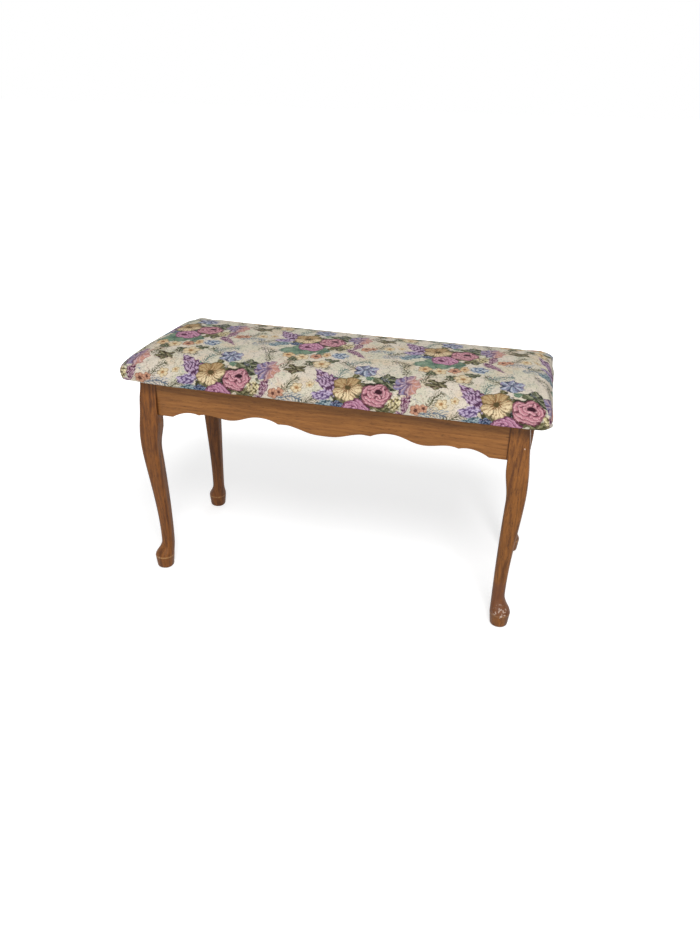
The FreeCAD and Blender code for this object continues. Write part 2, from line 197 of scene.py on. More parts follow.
def motifGroup(name, draw):
    inputs = [("Place", "Vector")] + [(tone, "Color") for tone in motifSockets]
    tree, board, sockets = newGroup(name, inputs, (("Colour", "Color"), ("Cover", "Float")))
    colour, cover = draw(board, sockets["Place"], *[sockets[tone] for tone in motifSockets])
    board.add("NodeGroupOutput", {"Colour": colour, "Cover": cover})
    return tree


def polar(board, place):
    x, y = board.split(place)
    return board.vector("LENGTH", place), board.math("ARCTAN2", y, x)


def wave(board, value, times, start, height):
    return board.times(board.math("SINE", board.times(value, times, start)), height)


def outlined(board, colour, dark, depth, width=0.10, share=0.7):
    # depth is how far inside the rim a point lies
    return board.lay(colour, dark, depth, width, 0.0, share)


def drawRose(board, place, dark, mid, light, accent):
    place = board.shake(place, 1.8, 0.30)
    around, outerAngle = polar(board, place)
    rim = board.math("ADD", wave(board, outerAngle, 5, 1.0, 0.06), 0.93)
    depth = board.math("SUBTRACT", rim, around)
    eye = board.vector("SUBTRACT", place, (0.16, 0.26, 0))
    reach, angle = polar(board, eye)
    bend = board.math("ADD", wave(board, angle, 3, 0.8, 0.30), wave(board, angle, 7, 2.0, 0.08))
    whorl = board.times(reach, 4.4, bend)
    step = board.math("FLOOR", whorl)
    rise = board.math("FRACT", whorl)
    turn = board.times(angle, 2.5 / math.tau, board.times(step, 0.37))
    gap = board.math("ABSOLUTE", board.math("SUBTRACT", board.math("FRACT", turn), 0.5))
    streak = board.noise(board.join(board.times(angle, 9.0), reach), 2.0)
    colour = board.lay(dark, mid, rise, 0.04, 0.26)
    lit = board.times(board.smooth(rise, 0.30, 0.90), board.smooth(streak, 0.30, 0.62))
    colour = board.mix(lit, colour, light)
    colour = board.lay(colour, dark, gap, 0.42, 0.48, 0.9)
    colour = board.lay(colour, accent, reach, 0.28, 0.17)
    return outlined(board, colour, dark, depth, 0.14, 0.8), board.smooth(depth, -0.02, 0.02)


def fivePetals(board, place, angle, reach, turn, ruffles, rim):
    petal = board.math("ABSOLUTE", board.math("COSINE", board.times(angle, 2.5, turn)))
    ruffle = board.noise(place, ruffles)
    swell, base, stray = rim
    edge = board.times(board.math("POWER", petal, 0.6), swell, base)
    return petal, ruffle, board.math("SUBTRACT", board.times(ruffle, stray, edge), reach)


def drawBlossom(board, place, dark, mid, light, accent):
    reach, angle = polar(board, place)
    petal, ruffle, depth = fivePetals(board, place, angle, reach, 0.0, 5.0, (0.34, 0.46, 0.34))
    colour = board.lay(mid, light, ruffle, 0.36, 0.60)
    colour = board.lay(colour, dark, petal, 0.34, 0.08, 0.75)
    colour = board.lay(colour, accent, reach, 0.40, 0.22)
    colour = board.lay(colour, dark, reach, 0.20, 0.10)
    return outlined(board, colour, dark, depth, 0.22, 0.8), board.smooth(depth, -0.03, 0.03)


def drawHibiscus(board, place, dark, mid, light, accent):
    place = board.shake(place, 2.0, 0.30)
    reach, angle = polar(board, place)
    petal, ruffle, depth = fivePetals(board, place, angle, reach, 0.5, 6.0, (0.22, 0.60, 0.30))
    low = board.vector("DOT_PRODUCT", place, (0.15, -1, 0))
    colour = board.lay(mid, light, low, -0.40, 0.40)
    stray = board.times(ruffle, 7.0, board.times(angle, 19.0))
    colour = board.lay(colour, accent, board.math("SINE", stray), 0.30, 0.90, 0.75)
    colour = board.lay(colour, dark, petal, 0.24, 0.06, 0.8)
    rays = board.times(board.math("SINE", board.times(angle, 13.0)), 0.12, 0.34)
    colour = board.lay(colour, accent, board.math("SUBTRACT", rays, reach), 0.0, 0.12)
    colour = board.lay(colour, dark, reach, 0.24, 0.14)
    return outlined(board, colour, dark, depth, 0.16, 0.8), board.smooth(depth, -0.03, 0.03)


def drawCells(board, place, scale, eye, gap, tones):
    dark, mid, light, accent = tones
    distance, tone = board.cells(place, scale)
    red, green = board.split(tone)
    colour = board.mix(red, mid, light)
    colour = board.lay(colour, accent, distance, eye, 0.05)
    return board.lay(colour, dark, distance, *gap), green


def drawFlorets(board, place, *tones):
    colour, stray = drawCells(board, place, 3.0, 0.22, (0.34, 0.56), tones)
    ragged = board.times(stray, 0.35, board.vector("LENGTH", place))
    return colour, board.smooth(ragged, 1.08, 1.02)


def drawSpike(board, place, *tones):
    x, y = board.split(place)
    width = board.times(y, -0.45, 0.55)  # narrow at the tip, where y is 1
    across = board.math("DIVIDE", x, width)
    colour, stray = drawCells(board, board.place(place, (0.5, 1, 1)), 4.2, 0.20, (0.32, 0.55), tones)
    ragged = board.times(stray, 0.35, board.vector("LENGTH", board.join(across, y)))
    return colour, board.smooth(ragged, 1.10, 1.04)


def drawPetals(count, width, sharp, sided=False):
    def draw(board, place, dark, mid, light, accent):
        place = board.shake(place, 1.5, 0.7)
        reach, angle = polar(board, place)
        half = math.pi / count
        near = board.math("WRAP", angle, half, -half)
        along = board.math("MINIMUM", board.times(reach, board.math("COSINE", near)), 1.0)
        across = board.times(reach, board.math("SINE", near))
        swell = board.math("SINE", board.times(board.math("POWER", along, sharp), math.pi))
        ruffle = board.noise(place, 4.0)
        edge = board.times(board.times(board.times(ruffle, 1.4, 0.35), swell), width)
        side = board.math("DIVIDE", across, board.math("MAXIMUM", edge, 0.01))
        rib = board.math("ABSOLUTE", side)
        colour = board.lay(dark, mid, side, -0.9, 0.9)
        if sided:  # petals on the right take the accent
            blush = board.smooth(board.vector("DOT_PRODUCT", place, (1, 0, 0)), -0.25, 0.35)
        else:
            blush = board.smooth(ruffle, 0.50, 0.62)
        colour = board.mix(blush, colour, accent)
        veins = board.times(rib, -5.0, board.times(along, 30.0))
        shade = board.times(board.math("SINE", veins), 0.2, 0.2)
        colour = board.mix(shade, colour, dark)
        colour = board.lay(colour, light, rib, 0.30, 0.10, 0.7)
        colour = board.lay(colour, dark, reach, 0.30, 0.08, 0.8)
        colour = outlined(board, colour, dark, board.math("SUBTRACT", 1.0, rib), 0.35)
        return colour, board.smooth(rib, 1.08, 0.92)
    return draw


def drawTwig(board, place, dark, mid, light, accent):
    x, y = board.split(board.shake(place, 1.5, 0.5))
    stem = board.math("SUBTRACT", y, wave(board, x, 2.6, 0.4, 0.22))
    aside = board.math("ABSOLUTE", stem)
    branch = board.math("WRAP", board.times(aside, -0.8, x), 0.15, -0.15)
    branch = board.smooth(board.math("ABSOLUTE", branch), 0.07, 0.035)
    bud = board.smooth(aside, 0.40, 0.55)
    ends = board.smooth(board.math("ABSOLUTE", x), 1.0, 0.9)
    inside = board.times(ends, board.smooth(aside, 0.72, 0.62))
    lines = board.math("MAXIMUM", branch, board.smooth(aside, 0.11, 0.06))
    return board.mix(bud, dark, accent), board.times(lines, inside)


motifDrawings = {
    "rose": drawRose,
    "blossom": drawBlossom,
    "hibiscus": drawHibiscus,
    "florets": drawFlorets,
    "spike": drawSpike,
    "threeLeaves": drawPetals(3, 0.36, 0.8),
    "fiveLeaves": drawPetals(5, 0.30, 0.8),
    "iris": drawPetals(6, 0.36, 1.1),
    "aster": drawPetals(9, 0.27, 1.2, sided=True),
    "twig": drawTwig,
}
motifs = {name: motifGroup(name + " motif", draw) for name, draw in motifDrawings.items()}

# Screen colours of the yarns: dark, mid, light and accent
yarns = {
    "rosePink": ((82, 38, 50), (180, 120, 131), (218, 174, 178), (52, 24, 34)),
    "roseMauve": ((88, 42, 66), (176, 118, 144), (214, 170, 190), (84, 38, 62)),
    "hibiscus": ((82, 70, 44), (176, 150, 108), (220, 200, 162), (130, 92, 60)),
    "lilac": ((80, 52, 78), (148, 116, 146), (192, 168, 190), (210, 192, 206)),
    "violet": ((84, 66, 102), (148, 128, 164), (186, 170, 194), (208, 198, 210)),
    "iris": ((58, 64, 82), (152, 160, 182), (202, 208, 216), (164, 144, 176)),
    "aster": ((88, 62, 92), (146, 140, 172), (202, 176, 176), (198, 146, 126)),
    "leafGreen": ((42, 46, 34), (106, 110, 84), (160, 160, 130), (78, 84, 62)),
    "oakLeaf": ((52, 48, 36), (110, 106, 76), (160, 154, 120), (96, 76, 62)),
    "olive": ((58, 56, 38), (116, 112, 78), (160, 154, 116), (88, 84, 58)),
    "shade": ((44, 42, 34), (74, 72, 50), (108, 104, 74), (90, 86, 62)),
    "tealLeaf": ((74, 98, 84), (104, 130, 108), (130, 150, 126), (94, 120, 100)),
    "tealBlue": ((62, 80, 90), (112, 134, 144), (160, 174, 176), (190, 196, 192)),
    "navy": ((40, 48, 68), (70, 84, 112), (112, 126, 154), (180, 184, 192)),
    "hydrangea": ((70, 84, 106), (124, 146, 174), (200, 202, 202), (216, 214, 206)),
    "mauve": ((88, 54, 76), (146, 106, 124), (188, 156, 168), (206, 190, 192)),
    "plum": ((78, 38, 62), (134, 78, 106), (200, 174, 182), (226, 214, 208)),
    "yellow": ((92, 82, 56), (186, 170, 124), (216, 204, 164), (226, 216, 186)),
    "peach": ((130, 90, 58), (200, 166, 124), (216, 192, 152), (160, 112, 76)),
    "cream": ((136, 104, 68), (206, 186, 148), (218, 202, 168), (178, 138, 96)),
    "orange": ((104, 60, 48), (180, 124, 100), (204, 160, 132), (86, 60, 54)),
    "slate": ((104, 116, 130), (140, 152, 162), (170, 178, 182), (132, 144, 158)),
    "tealTwig": ((96, 118, 112), (130, 150, 142), (160, 176, 166), (112, 136, 128)),
    "darkTwig": ((82, 80, 58), (110, 106, 80), (140, 136, 104), (96, 94, 70)),
}

tapestry = {
    "repeat": 252.0,  # mm from one bouquet to the next along a row
    "rowGap": 184.0,  # mm between rows, each row half a repeat along
    "firstRose": (94.5, -164.5),  # mm from the middle of the seat
    "thread": (0.55, 0.45),  # mm, one woven point
    "fray": 0.7,  # mm that a yarn strays at the edge of its shape
    "cream": (214, 203, 187),
    "sage": (200, 198, 174),
    "peach": (212, 192, 164),
    # stitches on the ground: turn, size in mm, yarn, share of the ground left bare
    "stitches": (
        (32, (2.4, 6, 1), "darkTwig", 0.70),
        (-40, (2.2, 5.5, 1), "darkTwig", 0.74),
        (75, (3, 8, 1), "tealTwig", 0.74),
    ),
    "finish": {"Sheen Weight": 0.03, "Specular IOR Level": 0.12},
    "bump": 0.12 * mm,
}

# One bouquet, back to front: motif, place from the rose in mm, half width, half height, turn, yarns
bouquet = (
    ("twig", -70, 42, 24, 13, 70, "tealTwig"),
    ("twig", 100, 6, 20, 12, 50, "darkTwig"),
    ("twig", 100, -24, 26, 15, -8, "slate"),
    ("twig", -120, -44, 24, 14, 12, "slate"),
    ("twig", 80, 62, 22, 13, 65, "darkTwig"),
    ("twig", 36, 82, 22, 12, 100, "darkTwig"),
    ("twig", -66, 78, 20, 12, 130, "darkTwig"),
    ("twig", 76, -92, 24, 14, 20, "tealTwig"),
    ("twig", -100, -76, 20, 12, -30, "darkTwig"),
    ("twig", 4, -124, 26, 12, 170, "darkTwig"),
    ("twig", -114, -26, 24, 13, 25, "darkTwig"),
    ("florets", -24, -10, 50, 36, 30, "shade"),
    ("fiveLeaves", 12, 34, 26, 32, 95, "leafGreen"),
    ("fiveLeaves", 97, 41, 17, 23, -90, "oakLeaf"),
    ("blossom", -46, -60, 42, 30, 40, "tealLeaf"),
    ("threeLeaves", -6, -58, 28, 24, 300, "tealLeaf"),
    ("fiveLeaves", -45, -104, 13, 13, 20, "leafGreen"),
    ("threeLeaves", 27, -96, 12, 17, -90, "leafGreen"),
    ("threeLeaves", -8, -112, 12, 12, 40, "leafGreen"),
    ("threeLeaves", -70, -4, 22, 26, 180, "olive"),
    ("threeLeaves", -44, 30, 20, 16, 90, "olive"),
    ("fiveLeaves", 18, -30, 22, 18, 10, "olive"),
    ("florets", -88, -32, 18, 14, 20, "tealBlue"),
    ("florets", -102, -46, 12, 11, 0, "tealBlue"),
    ("florets", -66, -28, 13, 10, 0, "navy"),
    ("florets", -92, -12, 22, 12, 12, "violet"),
    ("spike", -96, 26, 30, 36, 42, "lilac"),
    ("florets", 34, -14, 14, 16, 0, "yellow"),
    ("spike", 60, -50, 14, 32, -135, "mauve"),
    ("spike", 52, -14, 14, 22, 170, "plum"),
    ("florets", 34, -69, 18, 18, 0, "hydrangea"),
    ("aster", 50, 32, 24, 31, 0, "aster"),
    ("iris", -30, 64, 23, 26, 30, "iris"),
    ("florets", -19, 36, 8, 8, 0, "tealLeaf"),
    ("hibiscus", -51, 8, 28, 30, 12, "hibiscus"),
    ("rose", -31, -36, 26, 26, 150, "roseMauve"),
    ("rose", 0, 0, 27, 26, 0, "rosePink"),
    ("blossom", 71, -20, 11, 12, 0, "orange"),
    ("blossom", 83, -15, 9, 9, 30, "orange"),
    ("blossom", 112, -3, 12, 11, 50, "cream"),
    ("blossom", 134, 6, 8, 8, 20, "cream"),
    ("blossom", -58, -90, 13, 13, 10, "peach"),
    ("blossom", -31, -93, 14, 14, 40, "cream"),
    ("blossom", -7, -84, 13, 12, 70, "orange"),
    ("blossom", 9, -72, 9, 14, 0, "peach"),
    ("blossom", 12, -114, 17, 17, 25, "cream"),
)


def halfDropGroup():
    inputs = (("Place", "Vector"), ("Centre", "Vector"))
    tree, board, sockets = newGroup("half drop repeat", inputs, (("Place", "Vector"),))
    x, y = board.split(board.vector("SUBTRACT", sockets["Place"], sockets["Centre"]))
    rowHalf, repeatHalf = tapestry["rowGap"] / 2, tapestry["repeat"] / 2
    inRow = board.math("WRAP", y, rowHalf, -rowHalf)
    shift = board.times(board.math("SUBTRACT", inRow, y), repeatHalf / tapestry["rowGap"])
    inRepeat = board.math("WRAP", board.math("ADD", x, shift), repeatHalf, -repeatHalf)
    board.add("NodeGroupOutput", {"Place": board.join(inRepeat, inRow)})
    return tree


def tapestryGround(board, place):
    cream, sage, peach = shades(tapestry, "cream", "sage", "peach")
    patch = board.noise(place, 0.020)
    colour = board.lay(cream, sage, patch, 0.42, 0.62, 0.6)
    drift = board.vector("ADD", place, (300, 120, 0))
    colour = board.lay(colour, peach, board.noise(drift, 0.024), 0.52, 0.66, 0.6)
    for turn, size, yarn, bare in tapestry["stitches"]:
        distance, tone = board.cells(board.place(place, size, turn, (turn, size[1], 0)), 0.72)
        red = board.vector("DOT_PRODUCT", tone, (1, 0, 0))
        shown = board.times(board.smooth(distance, 0.34, 0.22), board.smooth(red, bare, bare + 0.06))
        shown = board.times(shown, board.smooth(patch, 0.34, 0.50))
        colour = board.mix(board.times(shown, 0.45), colour, screenColour(*yarns[yarn][1]))
    return colour


def tapestryMaterial():
    material, board = newMaterial("floral tapestry")
    uv = board.add("ShaderNodeUVMap", uv_map="weave").outputs[0]
    flat = board.vector("MULTIPLY", uv, (1000, 1000, 0))  # metres to millimetres
    point = board.vector("SNAP", flat, (*tapestry["thread"], 1))
    stray = board.add("ShaderNodeTexWhiteNoise", {"Vector": point}, noise_dimensions="2D").outputs["Color"]
    fray = tapestry["fray"]
    place = board.vector("MULTIPLY_ADD", stray, (2 * fray, 2 * fray, 0), point)
    place = board.vector("SUBTRACT", place, (fray, fray, 0))
    place = board.shake(place, 0.06, 5.0)
    place = board.shake(place, 0.25, 2.4)
    colour = tapestryGround(board, place)
    fold = halfDropGroup()
    for motif, x, y, halfWidth, halfHeight, turn, yarn in bouquet:
        centre = (tapestry["firstRose"][0] + x, tapestry["firstRose"][1] + y, 0)
        # reading the colour below makes each layer wait, and few values fill Cycles' stack at once
        here = board.vector("MULTIPLY_ADD", colour, (1e-6, 1e-6, 0), place)
        here = board.use(fold, {"Place": here, "Centre": centre})["Place"]
        here = board.place(here, (halfWidth, halfHeight, 1), turn)
        tones = {name: screenColour(*tone) for name, tone in zip(motifSockets, yarns[yarn])}
        drawn = board.use(motifs[motif], {"Place": here, **tones})
        colour = board.mix(drawn["Cover"], colour, drawn["Colour"])
    red, green, blue = board.split(stray, 3)
    slub = board.noise(board.place(flat, (2.6, 1.7, 1)), 1.0, 1.0)
    yarnTone = board.times(red, 0.20, 0.71)
    yarnTone = board.times(board.smooth(slub, 0.30, 0.62), 0.20, yarnTone)
    colour = board.mix(1.0, colour, board.join(yarnTone, yarnTone, yarnTone), "MULTIPLY")
    u, v = board.split(flat)
    ribs = board.times(wave(board, u, math.pi / tapestry["thread"][0], 0, 1.0),
                      wave(board, v, math.pi / tapestry["thread"][1], 0, 1.0))
    height = board.times(ribs, 0.5, board.times(green, 0.5))
    roughness = board.times(blue, 0.10, 0.86)
    closeMaterial(board, colour, roughness, height, tapestry["bump"], tapestry["finish"])
    return material


# Wood

woods = {
    "oak": {
        "dark": (96, 58, 26),
        "mid": (148, 98, 50),
        "light": (166, 114, 62),
        "pore": (66, 38, 16),
        "ring": 7.5,  # mm between growth rings
        "ringShare": 0.22,
        "heart": 90.0,  # mm from the piece's middle to the heart of the log
        "poreSize": (9.0, 1.1),  # mm along and across the grain
        "gloss": 0.30,
    },
    "poplar": {
        "dark": (150, 128, 84),
        "mid": (190, 166, 118),
        "light": (206, 184, 138),
        "pore": (140, 112, 72),
        "ring": 11.0,
        "ringShare": 0.35,
        "heart": 60.0,
        "poreSize": (6.0, 0.6),
        "gloss": 0.12,
    },
}
figure = {  # noise steps for each mm along and across the grain
    "sway": (0.006, 0.02, 0.02),
    "spacing": (0.004, 0.09, 0.09),
    "fibre": (0.03, 0.8, 0.8),
    "blotch": (0.014, 0.15, 0.15),
    "swayBy": (0, 26, 26),  # mm
    "bump": 0.06 * mm,
}
grainTurns = {
    "x": (0, 0, 0),
    "y": (0, 0, 90),
    "z": (0, 90, 0),
    "rising": (0, 0, -45),
    "falling": (0, 0, 45),
}
wearAndShade = {
    "ridge": 27.0,  # mm over the floor, the toes' ridge
    "ridgeColour": (188, 142, 92),
    "raw": (204, 182, 164),
    "darkFoot": (104, 62, 38),
    # painted shadow along the aprons' joints with the posts
    "jointShadow": (62, 32, 18),
    # colour, middle and reach in mm, and the share of it left alone
    "marks": {
        # the first mark makes the front right foot darker round its middle
        "front_right_leg": (("darkFoot", (345, -146, 58), 44, 0.30), ("raw", (345, -150, 36), 16, 0.54),
                            ("raw", (350, -148, 371), 1.8, 0.0)),
        "front_left_leg": (("raw", (-348, -152, 20), 12, 0.62),),
    },
}


def woodMaterial(wood, node, grain, offset, tint, mottle, posts=None, marks=None):
    settings = woods[wood]
    material, board = newMaterial(wood + " " + node)
    spot = board.spot()
    turn = [math.radians(angle) for angle in grainTurns[grain]]
    place = board.add("ShaderNodeMapping", {"Vector": spot, "Rotation": turn}).outputs[0]
    place = board.vector("ADD", place, offset)
    sway = board.streaks(place, figure["sway"], output=1)
    bent = board.vector("MULTIPLY_ADD", sway, figure["swayBy"], place)
    across, deep = board.split(bent, 3)[1:]
    fromHeart = board.vector("LENGTH", board.join(across, board.math("ADD", deep, settings["heart"])))
    spacing = board.streaks(place, figure["spacing"])
    ring = board.times(spacing, 2.2, board.math("DIVIDE", fromHeart, settings["ring"]))
    ring = board.math("FRACT", ring)
    early = board.times(board.smooth(ring, 0.0, 0.20), board.smooth(ring, 0.80, 0.25))
    poreLong, poreWide = settings["poreSize"]
    pores = board.streaks(place, (1 / poreLong, 1 / poreWide, 1 / poreWide), 2.0, 0.6)
    fibre = board.streaks(place, figure["fibre"], 4.0, 0.6)
    blotch = board.streaks(place, figure["blotch"], 5.0, 0.65)
    dark, mid, light, pore = shades(settings, "dark", "mid", "light", "pore")
    colour = board.lay(mid, light, fibre, 0.30, 0.70)
    colour = board.mix(board.times(early, settings["ringShare"] * (0.6 + mottle)), colour, dark)
    colour = board.lay(colour, dark, blotch, 0.43, 0.62, mottle)
    poreShare = board.times(board.smooth(pores, 0.56, 0.66), board.times(early, 0.6, 0.4))
    poreShare = board.times(poreShare, 0.3 + 0.7 * mottle)
    colour = board.mix(poreShare, colour, pore)
    colour = board.mix(1.0, colour, (*tint, 1), "MULTIPLY")
    if posts:
        axis, end = posts  # a painted shadow line darkens the apron where it meets them
        toPost = board.math("ABSOLUTE", board.vector("DOT_PRODUCT", spot, axis))
        colour = board.lay(colour, screenColour(*wearAndShade["jointShadow"]), toPost, end - 3.5, end - 0.5, 0.8)
    if marks is not None:
        colour = wornColour(board, colour, spot, fibre, marks)
    roughness = board.times(fibre, 0.16, 0.40)
    height = board.math("SUBTRACT", board.times(fibre, 0.3), poreShare)
    closeMaterial(board, colour, roughness, height, figure["bump"], {"Specular IOR Level": settings["gloss"]})
    return material


def wornColour(board, colour, spot, fibre, marks):
    level = board.vector("DOT_PRODUCT", spot, (0, 0, 1))
    fromRidge = board.math("ABSOLUTE", board.math("SUBTRACT", level, wearAndShade["ridge"]))
    rubbed = board.times(board.smooth(fromRidge, 2.6, 0.6), board.smooth(fibre, 0.34, 0.56))
    colour = board.mix(board.times(rubbed, 0.7), colour, screenColour(*wearAndShade["ridgeColour"]))
    scrape = board.noise(spot, 0.22, 3.0)
    for tone, middle, reach, kept in marks:
        away = board.vector("LENGTH", board.vector("SUBTRACT", spot, middle))
        worn = board.smooth(away, reach, reach * 0.6)
        worn = board.times(worn, board.smooth(scrape, kept, kept + 0.08))
        colour = board.mix(board.times(worn, 0.8), colour, screenColour(*wearAndShade[tone]))
    return colour


def dressNode(name, material, slotName, edge=0.0, angle=35):
    piece = addObject(name.replace("_", "-"), nodes[name].data.copy())
    selectOnly(piece)
    if piece.data.has_custom_normals:
        bpy.ops.mesh.customdata_custom_splitnormals_clear()
    setMode("EDIT")
    bpy.ops.mesh.select_all(action="SELECT")
    bpy.ops.mesh.remove_doubles(threshold=0.01 * mm)
    if edge:
        bpy.ops.mesh.dissolve_limited(angle_limit=math.radians(0.4))
    setMode("OBJECT")
    if edge:
        bevel = piece.modifiers.new("eased edges", "BEVEL")
        bevel.width = edge
        bevel.segments = 2
        bevel.limit_method = "ANGLE"
        bevel.angle_limit = math.radians(angle)
        bpy.ops.object.modifier_apply(modifier=bevel.name)
    bpy.ops.object.shade_smooth_by_angle(angle=math.radians(angle))
    piece.data.materials.clear()
    piece.data.materials.append(material)
    mountPiece(piece, slotName, name)


# node, grain, offset of the grain in mm, tint
# each leg's tint is partly its own tone and partly painted light: the front right leg is painted lighter, the
# left legs darker
legs = (
    ("front_left_leg", "z", (0, 0, 0), (0.67, 0.54, 0.35)),
    ("front_right_leg", "z", (410, 35, 90), (0.75, 0.64, 0.42)),
    ("back_right_leg", "z", (820, 70, 20), (0.71, 0.60, 0.43)),
    ("back_left_leg", "z", (1230, 15, 60), (0.68, 0.54, 0.37)),
)
aprons = (
    ("front_apron", "x", (0, 300, 40), (0.97, 0.92, 0.84)),
    ("back_apron", "x", (1500, 120, 10), (0.94, 0.89, 0.82)),
    ("left_apron", "y", (2600, 50, 30), (0.94, 0.89, 0.82)),
    ("right_apron", "y", (3700, 90, 70), (0.95, 0.90, 0.83)),
)
cornerBlocks = (
    ("front_left_corner_block", "falling", (0, 10, 20), (1, 1, 1)),
    ("front_right_corner_block", "rising", (90, 50, 5), (0.96, 0.95, 0.94)),
    ("back_right_corner_block", "falling", (180, 90, 60), (1.02, 1, 0.98)),
    ("back_left_corner_block", "rising", (270, 30, 80), (0.98, 0.98, 0.97)),
)
mottle = {"leg": 0.8, "apron": 0.38, "block": 0.2}
eased = {"apron": 1.2 * mm, "block": 0.6 * mm, "board": 0.8 * mm, "fitting": 0.2 * mm}  # edges
for node, *grained in legs:
    marks = wearAndShade["marks"].get(node, ())
    dressNode(node, woodMaterial("oak", node, *grained, mottle["leg"], marks=marks), "oak")
for node, grain, *grained in aprons:
    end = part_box(node)[1]
    posts = ((1, 0, 0), end.x * 1000) if grain == "x" else ((0, 1, 0), end.y * 1000)
    finish = woodMaterial("oak", node, grain, *grained, mottle["apron"], posts)
    dressNode(node, finish, "oak", eased["apron"])
for node, *grained in cornerBlocks:
    finish = woodMaterial("poplar", node, *grained, mottle["block"])
    dressNode(node, finish, "block_wood", eased["block"])
print("legs, aprons and corner blocks dressed")


# Fittings and board


zincPlate = {"dull": (176, 178, 182), "bright": (206, 204, 196), "bump": 0.02 * mm}
plywood = {
    "plies": 5,
    "dark": (190, 152, 104),
    "light": (214, 180, 134),
    "turned": (158, 118, 76),  # plies with the grain the other way
    "fibre": (0.02, 0.6, 0.6),  # noise steps for each mm
    "bump": 0.05 * mm,
}


def zincMaterial():
    material, board = newMaterial("zinc plated steel")
    spot = board.spot()
    dull, bright = shades(zincPlate, "dull", "bright")
    bloom = board.noise(spot, 0.5, 4.0)
    colour = board.lay(dull, bright, bloom, 0.35, 0.70)
    roughness = board.times(bloom, 0.25, 0.28)
    closeMaterial(board, colour, roughness, board.noise(spot, 3.0), zincPlate["bump"], {"Metallic": 1.0})
    return material


def plywoodMaterial():
    material, board = newMaterial("plywood")
    spot = board.spot()
    low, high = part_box("seat_board")
    plyThick = (high.z - low.z) * 1000 / plywood["plies"]
    ply = board.math("DIVIDE", board.math("SUBTRACT", board.split(spot, 3)[2], low.z * 1000), plyThick)
    dark, light, turned = shades(plywood, "dark", "light", "turned")
    fibre = board.streaks(spot, plywood["fibre"], 4.0, 0.6)
    colour = board.lay(dark, light, fibre, 0.30, 0.70)
    colour = board.lay(colour, turned, board.math("PINGPONG", ply, 1.0), 0.45, 0.55, 0.35)
    roughness = board.times(fibre, 0.1, 0.62)
    closeMaterial(board, colour, roughness, fibre, plywood["bump"], {"Specular IOR Level": 0.2})
    return material


zinc = zincMaterial()
for node in ("hanger_bolts", "bolt_washers", "bolt_nuts", "block_screws", "seat_screws"):
    dressNode(node, zinc, "zinc_steel", eased["fitting"], 30)
dressNode("seat_board", plywoodMaterial(), "plywood", eased["board"])
print("fittings and board dressed")


# Seat pad

seatPad = {
    # from the lower edge to the crown: share of the height, share of half the depth drawn in
    "section": ((0.0, 0.0175), (0.09, 0.004), (0.22, 0.0), (0.37, 0.0105), (0.50, 0.035), (0.61, 0.076),
                (0.71, 0.14), (0.80, 0.24), (0.89, 0.38), (0.96, 0.55), (1.0, 0.73)),
    "endDraw": 0.12,  # the ends are drawn in this share as much
    "corner": 13 * mm,
    "cornerGrowth": 0.28,  # of what is drawn in
    "ringStep": 5 * mm,
    "topRings": 9,
    "hem": 20 * mm,
    "hemRings": (18.5 * mm, 14 * mm, 9 * mm, 5 * mm),  # in from the edge
    "clear": 0.3 * mm,  # round the board inside
    "clearCorner": 9 * mm,
    "clearEase": 2 * mm,  # rings so near its edges keep them sharp
    "tuck": 30 * mm,  # run of the pattern to the end of the cloth
    "lineGap": 0.4 * mm,  # between grid lines of the rings below the widest
    "packed": 0.96,  # share of the height before the cloth is blown up
    "packedFrom": 14 * mm,  # over the lower edge
    "pressure": 4.0,
    "frames": 20,
    "fabric": {"quality": 6, "mass": 0.3, "tension_stiffness": 20, "compression_stiffness": 20,
               "bending_stiffness": 2.0},
    "mostMove": 4 * mm,
    "pucker": 0.5 * mm,
    "puckerStep": 42 * mm,
    "puckerLevel": (0.12, 0.16),  # middle and spread as shares of the height
    "soft": 0.5 * mm,  # slow waves on the top
    "cornerLift": (3.5 * mm, 1.0 * mm),  # the front corners' lower edge is rolled up, left and right
    "liftReach": 50 * mm,
    "liftTop": 0.6,  # of the height
    "endBulge": (10 * mm, 8 * mm),  # left and right
    "bulgeLevel": (0.5, 0.38),
    "bulgeFrom": 0.8,  # of half the length
    "flatHem": 0.04,  # of the height, where nothing bulges
    "backDraw": 4.5 * mm,  # so much less of it at the back of the right end
    "backDrawFrom": (-120 * mm, -20 * mm),  # where it begins, and where it is full
    "cornerPush": 8 * mm,  # the front right corner's lower edge stands out
    "pushReach": 60 * mm,
    "pushLevel": (0.1, 0.25),
}


def smoothLine(points, steps):
    points = np.array(points, float)
    run = np.vstack([2 * points[0] - points[1], points, 2 * points[-1] - points[-2]])
    line = []
    for a, b, c, d in zip(run, run[1:], run[2:], run[3:]):
        for t in np.arange(steps) / steps:
            line.append((2 * b + (c - a) * t + (2 * a - 5 * b + 4 * c - d) * t ** 2
                         + (3 * b - a - 3 * c + d) * t ** 3) / 2)
    return np.array(line + [points[-1]])


